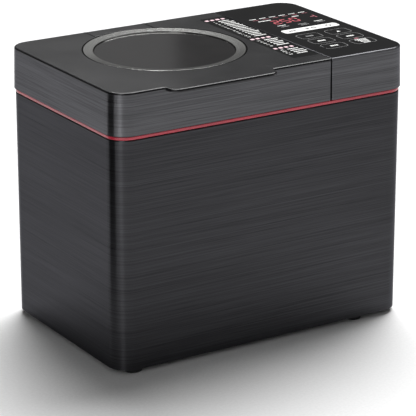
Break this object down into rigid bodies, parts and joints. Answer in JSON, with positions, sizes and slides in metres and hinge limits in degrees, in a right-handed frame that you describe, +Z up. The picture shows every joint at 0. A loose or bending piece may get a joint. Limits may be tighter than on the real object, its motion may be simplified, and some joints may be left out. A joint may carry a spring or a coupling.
{
  "type": "bread machine",
  "caption": "Upright black brushed-steel bread machine with a hinged lid, round window, flat control panel on the right, red trim line, and a lift-out pan with kneading paddle.",
  "frame": {"origin": "centre of the overall bounding rectangle, on the surface the feet stand on", "axes": "+Z up, -Y towards the user at the front, +X to the user's right where the control panel is"},
  "size_m": [0.365, 0.2496, 0.3057],
  "materials": {
    "brushed_case": "black titanium-toned sheet steel with a fine horizontal brushed grain",
    "lid_plastic": "satin charcoal moulded plastic",
    "gloss_panel": "glossy black plate with printed marks behind it",
    "red_band": "satin red moulded trim",
    "ring_metal": "spun bright metal ring",
    "bright_steel": "plain bright sheet and rod",
    "cast_metal": "bare die casting, slightly rough",
    "dark_plastic": "matt black moulded plastic",
    "rubber_black": "matt black rubber",
    "tinted_glass": "dark tinted tempered glass",
    "non_stick": "dark grey non-stick coating on pressed aluminium",
    "circuit_board": "green solder mask",
    "bronze": "sintered bronze",
    "silicone": "pale silicone",
    "ceramic_white": "unglazed white insulator"
  },
  "bodies": {
    "case": {"body_wrap": "brushed_case", "panel_housing": "brushed_case", "panel_glass": "gloss_panel", "trim_band": "red_band", "baking_chamber": "bright_steel", "heating_element": "bright_steel", "temperature_sensor": "bright_steel", "motor_bracket": "bright_steel", "hinge_knuckle_left": "bright_steel", "hinge_knuckle_right": "bright_steel", "hinge_pin_left": "bright_steel", "hinge_pin_right": "bright_steel", "chassis_frame": "bright_steel", "bearing_housing": "cast_metal", "motor": "cast_metal", "pan_socket": "cast_metal", "base_pan": "dark_plastic", "top_deck": "dark_plastic", "motor_capacitor": "dark_plastic", "display_module": "dark_plastic", "power_transformer": "dark_plastic", "foot_front_left": "rubber_black", "foot_front_right": "rubber_black", "foot_rear_left": "rubber_black", "foot_rear_right": "rubber_black", "cord_gland": "rubber_black", "drive_belt": "rubber_black", "display_board": "circuit_board", "power_board": "circuit_board", "lower_shaft_bush": "bronze", "upper_shaft_bush": "bronze", "element_terminal_front": "ceramic_white", "element_terminal_rear": "ceramic_white"},
    "lid": {"lid_skirt": "brushed_case", "lid_top": "lid_plastic", "programme_strip": "gloss_panel", "hinge_cover": "lid_plastic", "window_ring": "ring_metal", "window_glass": "tinted_glass", "lid_liner": "bright_steel", "inner_glass": "tinted_glass", "lid_gasket": "silicone", "hinge_arm_left": "bright_steel", "hinge_arm_right": "bright_steel"},
    "pan": {"bread_pan": "non_stick", "pan_base": "cast_metal", "pan_bush": "bronze", "handle_ear_left": "bright_steel", "handle_ear_right": "bright_steel"},
    "handle": {"pan_handle": "bright_steel"},
    "paddle": {"pan_shaft": "bright_steel", "pan_coupling": "cast_metal", "kneading_paddle": "non_stick"},
    "drive": {"drive_shaft": "bright_steel", "drive_coupling": "cast_metal", "large_pulley": "dark_plastic"},
    "rotor": {"motor_shaft": "bright_steel", "motor_pulley": "bright_steel"}
  },
  "joints": [
    {"name": "lid_hinge", "type": "hinge", "parent": "case", "child": "lid", "pos_m": [-0.049, 0.1168, 0.27], "axis": [-1, 0, 0], "range_deg": [0, 90]},
    {"name": "pan_lift", "type": "slide", "parent": "case", "child": "pan", "axis": [0, 0, 1], "range_m": [0, 0.008]},
    {"name": "handle_swing", "type": "hinge", "parent": "pan", "child": "handle", "pos_m": [-0.047, 0.012, 0.227], "axis": [-1, 0, 0], "range_deg": [0, 180]},
    {"name": "drive_spin", "type": "hinge", "parent": "case", "child": "drive", "pos_m": [-0.047, 0.012, 0.05], "axis": [0, 0, 1], "continuous": true},
    {"name": "paddle_spin", "type": "hinge", "parent": "pan", "child": "paddle", "pos_m": [-0.047, 0.012, 0.11], "axis": [0, 0, 1], "continuous": true},
    {"name": "motor_spin", "type": "hinge", "parent": "case", "child": "rotor", "pos_m": [0.125, 0.012, 0.06], "axis": [0, 0, 1], "continuous": true}
  ],
  "couplings": [
    {"joint": "paddle_spin", "follows": "drive_spin", "ratio": 1},
    {"joint": "motor_spin", "follows": "drive_spin", "ratio": 6}
  ]
}
